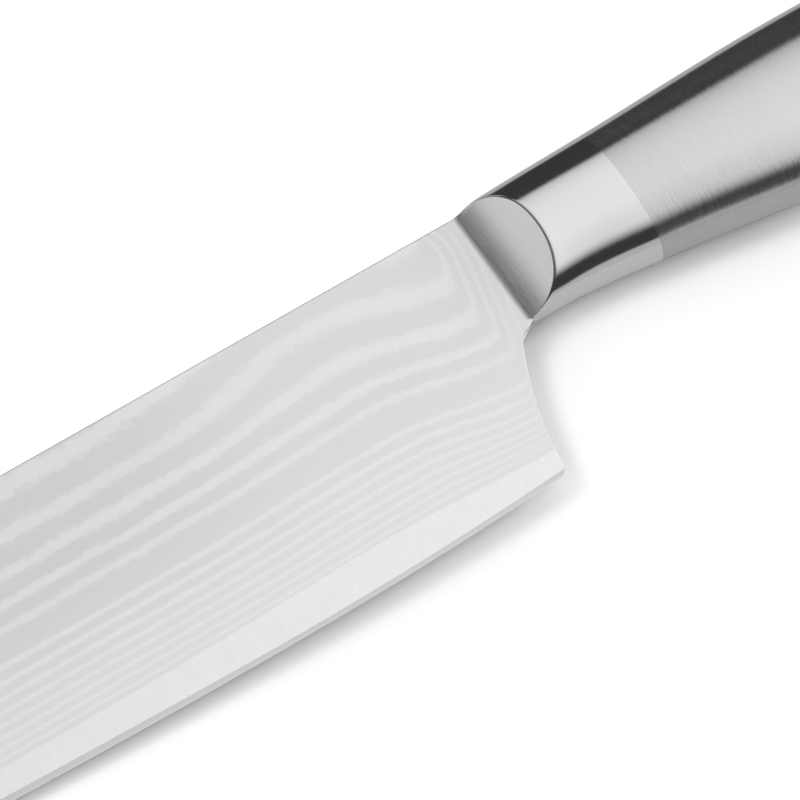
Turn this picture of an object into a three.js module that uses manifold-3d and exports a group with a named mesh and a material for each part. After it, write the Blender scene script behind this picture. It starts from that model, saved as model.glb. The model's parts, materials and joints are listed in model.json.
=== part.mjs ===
// A vegetable cleaver with a laminated blade and a hollow steel handle, lying on its left side.
// Millimetres. The knife is built in its own frame, +X to the butt, +Y to the spine and +Z out of
// the right face, with x = 0 where the blade meets the bolster, y = 0 on the handle's axis and z = 0
// in the middle of the blade. The last lines lay it on a table, with +Z up.
import * as THREE from "three";
import { mergeVertices } from "three/addons/utils/BufferGeometryUtils.js";
import Module from "manifold-3d";

const wasm = await Module();
wasm.setup();

// Blade
const bladeLength = 178; // from the bolster to the front end
const bladeHeight = 48.3; // from the spine to the lowest point of the edge
const spineRise = 10.05; // the spine above the handle's axis
const spineThickness = 2;
const spineEase = 0.15; // broken corners of the spine
const coreThickness = 0.6; // hard centre layer
const exposedCore = 6.65; // bare centre layer above the lowest point of the edge
const claddingEdge = 0.03; // how thin the outer layers get before they run out
const flatHeight = 14; // straight-tapered flat under the spine
const flatTaper = 0.01; // loss of thickness on one side, per millimetre down that flat
const bevelHeight = 1; // sharpened bevel
const edgeLowAt = 58; // lowest point of the edge, in front of the bolster
const heelRocker = 700; // radius of the edge from there to the heel
const frontRocker = 1500; // radius of the edge from there to the front
const noseRadius = 17; // rounded corner between the spine and the front end
const frontLean = 2; // how far the front end leans back towards the spine
const toeRadius = 4; // corner between the front end and the edge
const heelSetback = 9.7; // corner of the heel, in front of the bolster
const heelCorner = 2; // radius of that corner
const heelHollow = 0.9; // depth of the hollow in the heel's line
const choilSetback = 2.7; // inner corner under the bolster, in front of it
const choilDrop = 1.65; // inner corner below the underside of the bolster
const choilRadius = 1.2;
const stubLength = 12; // blade inside the bolster
const stubShoulder = 1.6; // step from the bolster's outline to the stub

// Bolster
const collarLength = 24; // from the blade to the satin handle
const rampFillet = 3.4; // small radius where the ramp leaves the blade
const rampStart = THREE.MathUtils.degToRad(34); // slope at the end of that radius
const rampEnd = THREE.MathUtils.degToRad(50); // slope where the ramp runs out
const rampRadius = 42; // hollow of the ramp
const rampLip = 0.1; // front edge of the ramp over the slot
const spigotLength = 8; // neck inside the handle

// Handle outline: heights above and below the axis, and half thicknesses
const handleLength = 124; // from the blade to the end of the shells
const crestAt = 4.5; // where the top of the barrel is reached behind the blade
const crestRise = 11;
const collarRise = 11.6; // top at the end of the collar
const barrelDrop = 11.6; // underside of the barrel
const flareAt = 8; // where the underside starts to flare
const collarDrop = 12.9; // underside at the end of the collar
const bellyAt = 62;
const bellyRise = 12.9;
const bellyDrop = 16.9;
const waistFromEnd = 29; // narrow place in front of the butt, from the end of the shells
const waistRise = 12.7;
const waistDrop = 15.2;
const endRise = 10.4;
const endDrop = 16.4;
const barrelHalf = 7; // half thickness at the blade
const bellyHalf = 8.7;
const waistHalf = 8.5;
const endHalf = 8.8;
const sectionPower = 2.1; // 2 is an ellipse, more is fuller

// Handle pieces
const shellWall = 1.2;
const capDome = 6; // the butt cap's crown
const capEdge = 2.6; // how full the cap's rim is: 2 is an ellipse
const capSpigot = 6;
const tangThickness = 2.5;
const tangHeight = 9;
const tangEnd = 88; // end of the tang, from the blade
const keyHole = 5; // holes in the tang that the filler runs through
const keyPitch = 24;

// Fits
const weldLine = 0.02; // between the layers of the blade
const seam = 0.05; // between welded faces
const slotClearance = 0.06; // blade and tang in the bolster
const spigotClearance = 0.1;
const fillerClearance = 0.1;
const fillerGap = 0.3; // ends of the filler to the spigots

// Facets
const ringPoints = 40; // round the handle
const arcPoints = 8; // along each arc of the ramp and each curve of an outline
const skinStep = 6; // spacing of the sections outside the handle
const boreStep = 10; // and inside it
const bladeStep = 12; // spacing of the sections along the blade
const grindShares = [0, 0.25, 0.5, 0.75, 1.03]; // across the curved grind, the last just past its end
const easeShares = [0, 0.25, 0.5, 0.75]; // along the rise from the spine to the barrel
const crownAngles = [0, 18, 36, 52, 66, 78, 86]; // round the butt cap's crown, in degrees
const margin = 4; // overshoot of cutting shapes

// Solids

function solid(geometry) {
  const bare = geometry.clone();
  bare.deleteAttribute("normal");
  bare.deleteAttribute("uv");
  const merged = mergeVertices(bare, 1e-5);
  return new wasm.Manifold(
    new wasm.Mesh({
      numProp: 3,
      vertProperties: new Float32Array(merged.attributes.position.array),
      triVerts: new Uint32Array(merged.index.array),
    }),
  );
}

function piece(name, manifold, material) {
  const mesh = manifold.getMesh();
  const geometry = new THREE.BufferGeometry();
  geometry.setAttribute("position", new THREE.BufferAttribute(mesh.vertProperties, mesh.numProp));
  geometry.setIndex(new THREE.BufferAttribute(mesh.triVerts, 1));
  geometry.computeVertexNormals();
  const made = new THREE.Mesh(geometry, material);
  made.name = name;
  return made;
}

// A skin over rings of equal length that follow each other along +X, closed at both ends.
function loft(rings) {
  const count = rings[0].length;
  const index = [];
  for (let ring = 0; ring + 1 < rings.length; ring++)
    for (let i = 0; i < count; i++) {
      const a = ring * count + i;
      const b = ring * count + ((i + 1) % count);
      index.push(a, b, b + count, a, b + count, a + count);
    }
  const last = (rings.length - 1) * count;
  for (let i = 1; i + 1 < count; i++) index.push(0, i + 1, i, last, last + i, last + i + 1);
  const geometry = new THREE.BufferGeometry().setFromPoints(rings.flat());
  geometry.setIndex(index);
  return solid(geometry);
}

// A shape in the XY plane with an even thickness about z = 0.
function plate(shape, thickness) {
  const geometry = new THREE.ExtrudeGeometry(shape, {
    depth: thickness,
    bevelEnabled: false,
    curveSegments: arcPoints,
  });
  return solid(geometry.translate(0, 0, -thickness / 2));
}

function box(low, high) {
  const size = new THREE.Vector3().subVectors(high, low);
  const middle = new THREE.Vector3().addVectors(low, high).multiplyScalar(0.5);
  const geometry = new THREE.BoxGeometry(size.x, size.y, size.z);
  return solid(geometry.translate(middle.x, middle.y, middle.z));
}

function stations(from, to, step) {
  const count = Math.max(1, Math.ceil((to - from) / step));
  return Array.from({ length: count + 1 }, (_, i) => from + ((to - from) * i) / count);
}

// A smooth curve through [x, value] points that never overshoots them.
function profile(points) {
  const secant = points.slice(1).map(([x, v], i) => (v - points[i][1]) / (x - points[i][0]));
  const slope = points.map((_, i) => {
    const before = secant[Math.max(i - 1, 0)];
    const after = secant[Math.min(i, secant.length - 1)];
    return before * after > 0 ? (2 * before * after) / (before + after) : 0;
  });
  return (x) => {
    const found = points.findIndex(([end]) => x < end);
    const i = found < 0 ? points.length - 2 : Math.max(found - 1, 0);
    const width = points[i + 1][0] - points[i][0];
    const t = (x - points[i][0]) / width;
    const bend = t * t * (3 - 2 * t);
    return (
      points[i][1] * (1 - bend) +
      points[i + 1][1] * bend +
      width * t * (1 - t) * (slope[i] * (1 - t) - slope[i + 1] * t)
    );
  };
}

// Handle form: the outline of the barrel, the collar and the grip, from the blade to the butt

const waistAt = handleLength - waistFromEnd;
const topOf = profile([
  [0, spineRise],
  [crestAt, crestRise],
  [collarLength, collarRise],
  [bellyAt, bellyRise],
  [waistAt, waistRise],
  [handleLength, endRise],
]);
const bottomOf = profile([
  [0, -barrelDrop],
  [flareAt, -barrelDrop],
  [collarLength, -collarDrop],
  [bellyAt, -bellyDrop],
  [waistAt, -waistDrop],
  [handleLength, -endDrop],
]);
const halfOf = profile([
  [0, barrelHalf],
  [bellyAt, bellyHalf],
  [waistAt, waistHalf],
  [handleLength, endHalf],
]);

// The section of the handle at x, drawn in by an inset, shrunk about its middle and set at another x
// where that is given.
function section(x, inset = 0, shrink = 1, at = x) {
  const middle = (topOf(x) + bottomOf(x)) / 2;
  const halfHeight = ((topOf(x) - bottomOf(x)) / 2 - inset) * shrink;
  const halfWidth = (halfOf(x) - inset) * shrink;
  const power = 2 / sectionPower;
  return Array.from({ length: ringPoints }, (_, i) => {
    const angle = (2 * Math.PI * i) / ringPoints;
    const [c, s] = [Math.cos(angle), Math.sin(angle)];
    const y = middle + halfHeight * Math.sign(c) * Math.abs(c) ** power;
    const z = halfWidth * Math.sign(s) * Math.abs(s) ** power;
    return new THREE.Vector3(at, y, z);
  });
}

function grip(from, to, step, inset = 0) {
  return loft(stations(from, to, step).map((x) => section(x, inset)));
}

// Blade: a laminated sheet, ground to a convex wedge and cut to its outline

const coreDepth = bladeHeight - exposedCore; // spine to the line where the cladding runs out
const lowestEdge = spineRise - bladeHeight;

function edgeHeight(x) {
  const along = x + edgeLowAt;
  return lowestEdge + along ** 2 / (2 * (along > 0 ? heelRocker : frontRocker));
}

// Half thickness of the ground blade at a depth under the spine: a straight taper, then a parabola
// that reaches the centre layer at its line, then on at the slope that it has there.
function groundHalf(depth) {
  const flatEnd = spineThickness / 2 - flatTaper * flatHeight;
  const reach = coreDepth - flatHeight;
  const atCore = coreThickness / 2 + weldLine + claddingEdge;
  const bend = (flatEnd - flatTaper * reach - atCore) / reach ** 2;
  const down = depth - flatHeight;
  if (down <= 0) return spineThickness / 2 - flatTaper * depth;
  if (down <= reach) return flatEnd - flatTaper * down - bend * down ** 2;
  return atCore - (flatTaper + 2 * bend * reach) * (down - reach);
}

function bladeSection(x) {
  const edgeDepth = spineRise - edgeHeight(x);
  const shoulder = edgeDepth - bevelHeight;
  const reach = coreDepth - flatHeight;
  const bends = grindShares.map((share) => flatHeight + reach * share);
  const depths = [spineEase, ...bends, shoulder];
  const right = depths.map((d) => [d, groundHalf(d)]);
  right.unshift([0, spineThickness / 2 - spineEase]);
  const left = right.map(([d, half]) => [d, -half]).reverse();
  const ring = [...right, [edgeDepth, 0], ...left];
  return ring.map(([d, z]) => new THREE.Vector3(x, spineRise - d, z));
}

function bladeOutline() {
  const front = -bladeLength;
  const below = lowestEdge - margin;
  const toe = edgeHeight(front);
  const heel = new THREE.Vector2(-heelSetback, edgeHeight(-heelSetback));
  const choil = new THREE.Vector2(-choilSetback, -barrelDrop - choilDrop);
  const up = new THREE.Vector2().subVectors(choil, heel).normalize();
  const bolster = new THREE.Vector2(0, -barrelDrop);
  const back = new THREE.Vector2().subVectors(bolster, choil).normalize();
  const heelTop = choil.clone().addScaledVector(up, -choilRadius);
  const heelFoot = heel.clone().addScaledVector(up, heelCorner);
  const hollow = new THREE.Vector2().addVectors(heelTop, heelFoot).multiplyScalar(0.5);
  hollow.addScaledVector(new THREE.Vector2(-up.y, up.x), 2 * heelHollow);
  const choilBack = choil.clone().addScaledVector(back, Math.min(choilRadius, choilSetback / 2));
  const shape = new THREE.Shape();
  shape.moveTo(stubLength, -barrelDrop + stubShoulder);
  shape.lineTo(stubLength, spineRise - stubShoulder);
  shape.lineTo(0, spineRise - stubShoulder);
  shape.lineTo(0, spineRise + margin);
  shape.lineTo(front + frontLean + noseRadius, spineRise + margin);
  shape.lineTo(front + frontLean + noseRadius, spineRise);
  shape.quadraticCurveTo(front + frontLean, spineRise, front + frontLean, spineRise - noseRadius);
  shape.lineTo(front, toe + toeRadius);
  shape.quadraticCurveTo(front, toe, front + toeRadius, edgeHeight(front + toeRadius));
  shape.lineTo(front + toeRadius, below);
  shape.lineTo(heel.x - heelCorner, below);
  shape.lineTo(heel.x - heelCorner, edgeHeight(heel.x - heelCorner));
  shape.quadraticCurveTo(heel.x, heel.y, heelFoot.x, heelFoot.y);
  shape.quadraticCurveTo(hollow.x, hollow.y, heelTop.x, heelTop.y);
  shape.quadraticCurveTo(choil.x, choil.y, choilBack.x, choilBack.y);
  shape.lineTo(bolster.x, bolster.y);
  shape.lineTo(0, -barrelDrop + stubShoulder);
  return shape;
}

const sheet = spineThickness + 2 * margin;
const bladeStations = stations(-bladeLength - margin, stubLength + margin, bladeStep);
const blade = loft(bladeStations.map(bladeSection)).intersect(plate(bladeOutline(), sheet));

// A slice of the blade between two heights, down to a depth under the spine.
function layer(low, high, depth) {
  return blade.intersect(
    box(
      new THREE.Vector3(-bladeLength - margin, spineRise - depth, low),
      new THREE.Vector3(stubLength + margin, spineRise + margin, high),
    ),
  );
}

const coreFace = coreThickness / 2;
const core = layer(-coreFace, coreFace, bladeHeight + margin);
const rightCladding = layer(coreFace + weldLine, sheet / 2, coreDepth);
const leftCladding = layer(-sheet / 2, -coreFace - weldLine, coreDepth);

// Bolster: an oval barrel, hollow-ground on both sides down to the blade, with a neck for the shells

const slotHalf = spineThickness / 2 + slotClearance;
const rampFoot = slotHalf + rampLip;

// The ramp's profile in X and Z: a small radius off the blade, then a wide hollow up to its end.
function rampPoints() {
  const path = new THREE.Path();
  const quarter = -Math.PI / 2;
  path.absarc(0, rampFoot + rampFillet, rampFillet, quarter, quarter + rampStart, false);
  const joint = path.getPoint(1);
  const middle = new THREE.Vector2(
    joint.x - rampRadius * Math.sin(rampStart),
    joint.y + rampRadius * Math.cos(rampStart),
  );
  path.absarc(middle.x, middle.y, rampRadius, quarter + rampStart, quarter + rampEnd, false);
  return path.getPoints(arcPoints);
}

function rampEnvelope() {
  const upper = rampPoints();
  const end = upper[upper.length - 1];
  const height = Math.max(end.y, barrelHalf + bellyHalf);
  upper.push(new THREE.Vector2(end.x + height - end.y, height));
  upper.push(new THREE.Vector2(collarLength + margin, height));
  const lower = upper.map((p) => new THREE.Vector2(p.x, -p.y)).reverse();
  const depth = 2 * (barrelDrop + collarDrop + spineRise);
  const geometry = new THREE.ExtrudeGeometry(new THREE.Shape([...upper, ...lower]), {
    depth,
    bevelEnabled: false,
  });
  return solid(geometry.rotateX(Math.PI / 2).translate(0, depth / 2, 0));
}

const spigotInset = shellWall + spigotClearance;
const spigotEnd = collarLength + spigotLength;
const tangFront = stubLength + fillerGap;
const tangMiddle = (spineRise - barrelDrop) / 2;

function tangShape(clearance) {
  const half = tangHeight / 2 + clearance;
  const end = tangEnd + clearance - half;
  const shape = new THREE.Shape();
  shape.moveTo(tangFront - clearance, tangMiddle - half);
  shape.lineTo(end, tangMiddle - half);
  shape.absarc(end, tangMiddle, half, -Math.PI / 2, Math.PI / 2, false);
  shape.lineTo(tangFront - clearance, tangMiddle + half);
  for (const step of [1, 2]) {
    const hole = new THREE.Path();
    hole.absarc(tangEnd - step * keyPitch, tangMiddle, keyHole / 2 - clearance, 0, 2 * Math.PI, true);
    shape.holes.push(hole);
  }
  return shape;
}

const tang = plate(tangShape(0), tangThickness);

const tangHalf = tangHeight / 2 + slotClearance;
const tangSide = tangThickness / 2 + slotClearance;
const stubSlot = box(
  new THREE.Vector3(-margin, -barrelDrop + stubShoulder - slotClearance, -slotHalf),
  new THREE.Vector3(tangFront, spineRise - stubShoulder + slotClearance, slotHalf),
);
const tangSlot = box(
  new THREE.Vector3(tangFront - slotClearance, tangMiddle - tangHalf, -tangSide),
  new THREE.Vector3(spigotEnd + margin, tangMiddle + tangHalf, tangSide),
);
const barrel = loft([
  ...easeShares.map((share) => section(seam + share * (crestAt - seam))),
  ...stations(crestAt, collarLength, skinStep).map((x) => section(x)),
]);
const bolster = barrel
  .intersect(rampEnvelope())
  .add(grip(collarLength - shellWall, spigotEnd, boreStep, spigotInset))
  .subtract(stubSlot)
  .subtract(tangSlot);

// Handle: two pressed half shells, a cap in their end and a filler round the tang

const shellStart = collarLength + seam;
const tube = grip(shellStart, handleLength, skinStep).subtract(
  grip(shellStart - margin, handleLength + margin, boreStep, shellWall),
);

function half(side) {
  const reach = 2 * (barrelHalf + bellyHalf);
  const low = new THREE.Vector3(0, -reach - bellyDrop, side > 0 ? seam / 2 : -reach);
  const high = new THREE.Vector3(handleLength + margin, reach + bellyRise, side > 0 ? reach : -seam / 2);
  return tube.intersect(box(low, high));
}

const capStart = handleLength + seam;
const crown = crownAngles.map((degrees) => {
  const angle = THREE.MathUtils.degToRad(degrees);
  const power = 2 / capEdge;
  return section(handleLength, 0, Math.cos(angle) ** power, capStart + capDome * Math.sin(angle) ** power);
});
const cap = loft(crown).add(
  loft(
    stations(handleLength - capSpigot, handleLength, boreStep)
      .map((x) => section(x, spigotInset))
      .concat([section(handleLength, spigotInset, 1, capStart + shellWall)]),
  ),
);

const filler = grip(
  spigotEnd + fillerGap,
  handleLength - capSpigot - fillerGap,
  boreStep,
  shellWall + fillerClearance,
).subtract(plate(tangShape(fillerClearance), tangThickness + 2 * fillerClearance));

// Finishes

function steel(color, roughness) {
  return new THREE.MeshStandardMaterial({ color, roughness, metalness: 1 });
}

const coreSteel = steel(0xe6e5e4, 0.25);
const damascus = steel(0xd6d6d6, 0.35);
const polished = steel(0xdcdcda, 0.12);
const satin = steel(0xc9c9ca, 0.3);
const plain = steel(0xb4b4b2, 0.45);
const resin = new THREE.MeshStandardMaterial({ color: 0x8d8674, roughness: 0.9, metalness: 0 });

// The knife in its own frame

const knife = new THREE.Group();
knife.add(
  piece("core_steel", core, coreSteel),
  piece("right_cladding", rightCladding, damascus),
  piece("left_cladding", leftCladding, damascus),
  piece("bolster", bolster, polished),
  piece("tang_bar", tang, plain),
  piece("right_handle_shell", half(1), satin),
  piece("left_handle_shell", half(-1), satin),
  piece("butt_cap", cap, satin),
  piece("handle_filler", filler, resin),
);

// Laid on a table: the belly of the handle and the front end of the blade both touch it.
const tilts = stations(collarLength, handleLength, skinStep).map((x) =>
  Math.atan2(halfOf(x) - spineThickness / 2, x + bladeLength),
);
knife.rotation.y = -Math.max(...tilts);
const bounds = new THREE.Box3().setFromObject(knife, true);
const centre = bounds.getCenter(new THREE.Vector3());
knife.position.set(-centre.x, -centre.y, -bounds.min.z);

const part = new THREE.Group();
part.add(knife);
export default part;
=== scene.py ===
"""A vegetable cleaver with a laminated blade and a satin steel handle, lying on its left side.

The knife's own axes run to the butt (x), to the spine (y) and out of the right face (z), with x = 0
where the blade meets the bolster, y = 0 on the handle's axis and z = 0 in the middle of the blade.
Each surface is worked out on those axes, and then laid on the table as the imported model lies.
"""

import json
import math
from types import SimpleNamespace

import bmesh
import bpy
import numpy as np
from bpy.props import FloatProperty, FloatVectorProperty, PointerProperty
from mathutils import Matrix


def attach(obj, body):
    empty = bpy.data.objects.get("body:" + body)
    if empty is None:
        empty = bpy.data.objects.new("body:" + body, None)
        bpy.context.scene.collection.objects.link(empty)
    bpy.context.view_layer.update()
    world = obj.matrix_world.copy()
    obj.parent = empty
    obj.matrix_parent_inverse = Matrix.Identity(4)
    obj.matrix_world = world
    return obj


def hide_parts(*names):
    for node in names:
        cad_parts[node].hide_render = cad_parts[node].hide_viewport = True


bl_info = {
    "name": "Vegetable Cleaver",
    "version": (1, 0, 0),
    "blender": (4, 5, 0),
    "location": "3D View > Sidebar > Cleaver",
    "description": "Makes a laminated vegetable cleaver and the stage that it lies on",
    "category": "Add Mesh",
}

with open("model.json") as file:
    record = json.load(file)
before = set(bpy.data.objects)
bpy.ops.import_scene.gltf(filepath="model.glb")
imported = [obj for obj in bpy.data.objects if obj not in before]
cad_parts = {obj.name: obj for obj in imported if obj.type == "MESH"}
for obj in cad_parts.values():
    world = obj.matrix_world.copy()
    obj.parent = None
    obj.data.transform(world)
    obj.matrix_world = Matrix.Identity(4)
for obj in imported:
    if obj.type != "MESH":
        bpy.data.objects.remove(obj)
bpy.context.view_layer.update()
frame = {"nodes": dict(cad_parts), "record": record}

MM = 0.001
PHOTO_SIDE = 800  # pixels of the square picture
SENSOR_WIDTH = 36.0  # millimetres
FLAT_POINT = (-0.080, 0.00305, 0.0)  # between the two flats of the blade that the record names
SAME_POINT = 1e-7  # metres: points closer together than this become one
GRIP_ROUND = 12  # millimetres round the grip for one radian, about
MAP_SIDE = 200  # millimetres that one unit of the grip's map covers
FLOOR_REACH = 1.2  # metres from the knife to the far ends of the floor
FLOOR_ROWS = 9


# Settings


def setting(kind, **fixed):
    """A function that declares settings of one kind."""

    def declare(name, description, default):
        return kind(name=name, description=description, default=default, **fixed)

    return declare


length = setting(FloatProperty, unit="LENGTH", subtype="DISTANCE", precision=5)
angle = setting(FloatProperty, unit="ROTATION", subtype="ANGLE")
number = setting(FloatProperty, subtype="UNSIGNED")
watts = setting(FloatProperty, unit="POWER")
spot = setting(FloatVectorProperty, size=3, unit="LENGTH", subtype="TRANSLATION")
colour = setting(FloatVectorProperty, size=3, min=0.0, max=1.0, subtype="COLOR")


class BladeSizes(bpy.types.PropertyGroup):
    """Outline and grind of the blade."""

    length: length("Length", "From the bolster to the front end", 0.178)
    height: length("Height", "From the spine to the lowest edge", 0.0483)
    spine_rise: length("Spine rise", "The spine above the handle's axis", 0.01005)
    spine_thickness: length("Spine thickness", "Blade at the spine", 0.002)
    ease: length("Eased corner", "Broken corners of the spine", 0.0002)
    rim_ease: length("Eased rim", "Broken corners of the heel and the front end", 0.0001)
    core_thickness: length("Core thickness", "Hard centre layer", 0.0006)
    exposed_core: length("Exposed core", "Bare core above the lowest edge", 0.00665)
    crest_at: length("Core crest", "Top of the core's line, in front of the bolster", 0.038)
    crest_lift: length("Core crest lift", "Rise of the core's line there", 0.0005)
    front_sink: length("Core front sink", "Sink of that line towards the front", 0.00045)
    heel_sink: length("Core heel sink", "Sink of that line towards the heel", 0.0009)
    weld_line: length("Weld line", "Line between the layers", 0.00002)
    flat_height: length("Flat height", "Straight-tapered flat under the spine", 0.014)
    flat_taper: number("Flat taper", "Loss of thickness on one side down that flat", 0.01)
    bevel_height: length("Bevel height", "Sharpened bevel at the front", 0.00105)
    bevel_loss: length("Bevel loss", "Loss of that height towards the heel", 0.00025)
    edge_low_at: length("Lowest edge", "Its place in front of the bolster", 0.058)
    heel_rocker: length("Heel rocker", "Radius of the edge towards the heel", 0.7)
    front_rocker: length("Front rocker", "Radius of the edge towards the front", 1.5)
    nose_radius: length("Nose radius", "Corner between the spine and the front end", 0.017)
    front_lean: length("Front lean", "How far the front end leans back", 0.002)
    toe_radius: length("Toe radius", "Corner between the front end and the edge", 0.004)
    heel_setback: length("Heel setback", "Corner of the heel, in front of the bolster", 0.0097)
    heel_corner: length("Heel corner", "Radius of that corner", 0.002)
    heel_hollow: length("Heel hollow", "Depth of the hollow in the heel's line", 0.0009)
    choil_setback: length("Choil setback", "Inner corner under the bolster, in front of it", 0.0027)
    choil_drop: length("Choil drop", "Inner corner below the underside of the bolster", 0.00165)
    choil_radius: length("Choil radius", "Radius of that inner corner", 0.0012)
    choil_end: length("Choil end", "Where the choil runs in under the bolster", 0.0008)
    seat: length("Seat", "Blade's run under the bolster's ramp", 0.0016)
    tuck: length("Tuck", "How far the edge stays inside the packed solids", 0.000015)


class BolsterSizes(bpy.types.PropertyGroup):
    """Ramps and barrel of the bolster."""

    collar_at: length("Collar", "From the blade to the satin handle", 0.024)
    blend_at: length("Blend", "Where the spine starts to rise to the barrel", -0.0015)
    ramp_at: length("Ramp front", "Where the ramp leaves the blade", -0.00075)
    ramp_fillet: length("Ramp fillet", "Radius where the ramp leaves the blade", 0.0032)
    fillet_slope: angle("Fillet slope", "Slope at the end of that radius", math.radians(25.2))
    ramp_radius: length("Ramp radius", "Hollow of the ramp", 0.0222)
    crown_width: length("Crown width", "Rounding along the ramp's upper rim", 0.0011)
    crown_ease: length("Crown ease", "Depth of that rounding", 0.0006)
    rim_reach: length("Rim reach", "Softened rim on each side of the ramp's line", 0.00044)


class HandleSizes(bpy.types.PropertyGroup):
    """Outline of the barrel and the grip: heights above and below the axis, and half thicknesses."""

    length: length("Length", "From the blade to the end of the shells", 0.124)
    crest_at: length("Crest", "Where the top of the barrel is reached", 0.0045)
    crest_rise: length("Crest rise", "Top of the barrel", 0.011)
    collar_rise: length("Collar rise", "Top at the end of the collar", 0.0116)
    barrel_drop: length("Barrel drop", "Underside of the barrel", 0.0116)
    flare_at: length("Flare", "Where the underside starts to flare", 0.008)
    collar_drop: length("Collar drop", "Underside at the end of the collar", 0.01302)
    belly_at: length("Belly", "Deepest place of the grip", 0.062)
    belly_rise: length("Belly rise", "Top at the belly", 0.0129)
    belly_drop: length("Belly drop", "Underside at the belly", 0.01715)
    waist_at: length("Waist", "Narrow place in front of the butt", 0.095)
    waist_rise: length("Waist rise", "Top at the waist", 0.0127)
    waist_drop: length("Waist drop", "Underside at the waist", 0.0152)
    end_rise: length("End rise", "Top at the end", 0.0104)
    end_drop: length("End drop", "Underside at the end", 0.0164)
    barrel_half: length("Barrel half", "Half thickness at the blade", 0.007)
    belly_half: length("Belly half", "Half thickness at the belly", 0.0087)
    waist_half: length("Waist half", "Half thickness at the waist", 0.0085)
    end_half: length("End half", "Half thickness at the end", 0.0088)
    section_power: number("Section power", "2 is an ellipse, more is fuller", 2.1)
    shell_wall: length("Shell wall", "Thickness of the pressed shells", 0.0012)
    cap_dome: length("Cap dome", "Height of the butt cap's crown", 0.006)
    cap_power: number("Cap power", "How full the cap's rim is: 2 is an ellipse", 2.6)
    cap_spigot: length("Cap spigot", "Neck of the cap inside the shells", 0.006)
    tuck: length("Tuck", "How far the sides stay inside the packed solids", 0.000015)


class Finishes(bpy.types.PropertyGroup):
    """Colours of the steels and the filler."""

    ground: colour("Cladding ground", "Etched ground at the front by the spine", (0.69, 0.678, 0.684))
    ground_pale: colour("Pale ground", "Etched ground near the core's line", (0.786, 0.772, 0.779))
    layer: colour("Cladding layer", "Light layers of the layered steel", (0.818, 0.803, 0.811))
    core: colour("Core", "Ground centre layer", (0.786, 0.778, 0.776))
    bevel: colour("Bevel", "Sharpened bevel", (0.565, 0.56, 0.56))
    # Painted highlight: the edge's light line stands for the light that its micro-bevel catches.
    edge: colour("Edge", "Fine line of the edge itself", (0.655, 0.65, 0.65))
    polish: colour("Polish", "Polished barrel", (0.631, 0.62, 0.625))
    ramp: colour("Ramp", "Brushed ramps of the bolster", (0.655, 0.655, 0.664))
    satin: colour("Satin", "Satin handle", (0.567, 0.567, 0.567))
    # Painted shade: a darker copy of the satin for the handle's underside, where the steel shows the
    # floor in the knife's shadow.
    satin_under: colour("Satin underside", "Satin handle along its underside", (0.46, 0.46, 0.46))
    tang: colour("Tang", "Rolled bar inside the handle", (0.50, 0.50, 0.49))
    filler: colour("Filler", "Cast filler inside the handle", (0.30, 0.27, 0.20))


class StageSettings(bpy.types.PropertyGroup):
    """Floor, light and camera."""

    floor: colour("Floor", "Pale floor", (0.97, 0.97, 0.97))
    floor_in_steel: colour("Floor in steel", "What the steel shows of the floor", (0.68, 0.68, 0.68))
    floor_back: length("Floor back", "Back end of the floor behind the handle's axis", 0.012)
    sky: number("Sky", "Strength of the painted studio", 1.05)
    toe_power: watts("Toe lamp power", "Floor lamp towards the front end", 1.45)
    toe_side: length("Toe lamp size", "Side of that square lamp", 0.4)
    toe_place: spot("Toe lamp place", "Over the table", (-0.55, -0.36, 0.69))
    butt_power: watts("Butt lamp power", "Floor lamp towards the butt", 21.5)
    butt_side: length("Butt lamp size", "Side of that square lamp", 0.8)
    butt_place: spot("Butt lamp place", "Over the table", (1.6, -0.42, 1.38))
    back_power: watts("Back lamp power", "Floor lamp on the spine's side", 1.52)
    back_side: length("Back lamp size", "Side of that square lamp", 0.25)
    back_place: spot("Back lamp place", "Over the table", (-0.35, 0.12, 0.69))
    turn: angle("Camera turn", "Camera's turn round the knife", math.radians(32.919))
    climb: angle("Camera climb", "Camera's height above the horizon", math.radians(62.297))
    distance: length("Camera distance", "From the camera to its aim", 1.0)
    aim_x: length("Aim along", "Camera's aim along the knife", -0.024394)
    aim_y: length("Aim across", "Camera's aim across the knife", -0.011932)
    pixels: number("Focal length", "Focal length in pixels of the picture", 6460.4)


class CleaverSettings(bpy.types.PropertyGroup):
    """All settings of the cleaver."""

    blade: PointerProperty(type=BladeSizes)
    bolster: PointerProperty(type=BolsterSizes)
    handle: PointerProperty(type=HandleSizes)
    finish: PointerProperty(type=Finishes)
    stage: PointerProperty(type=StageSettings)


# The knife's axes on the table


def knife_axes():
    """Turn (3 by 3, columns along x, y and z of the knife) and origin in the row frame.

    z is the mean of the two flats' outward directions, right minus left; y is level.
    """
    mounts = {m["name"]: m for m in frame["record"]["mounts"]}
    right, left = mounts["right_blade_flat"], mounts["left_blade_flat"]
    up = np.subtract(right["axis"], left["axis"])
    up /= np.linalg.norm(up)
    spine = np.array([0.0, 1.0, 0.0])
    turn = np.column_stack([np.cross(spine, up), spine, up])
    middle = np.add(right["pos_m"], left["pos_m"]) / 2
    return turn, middle - turn @ np.array(FLAT_POINT)


TURN, ORIGIN = knife_axes()


def laid(points):
    """Points on the knife's axes, moved to where the knife lies in the row frame."""
    return np.asarray(points) @ TURN.T + ORIGIN


# Curves


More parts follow.
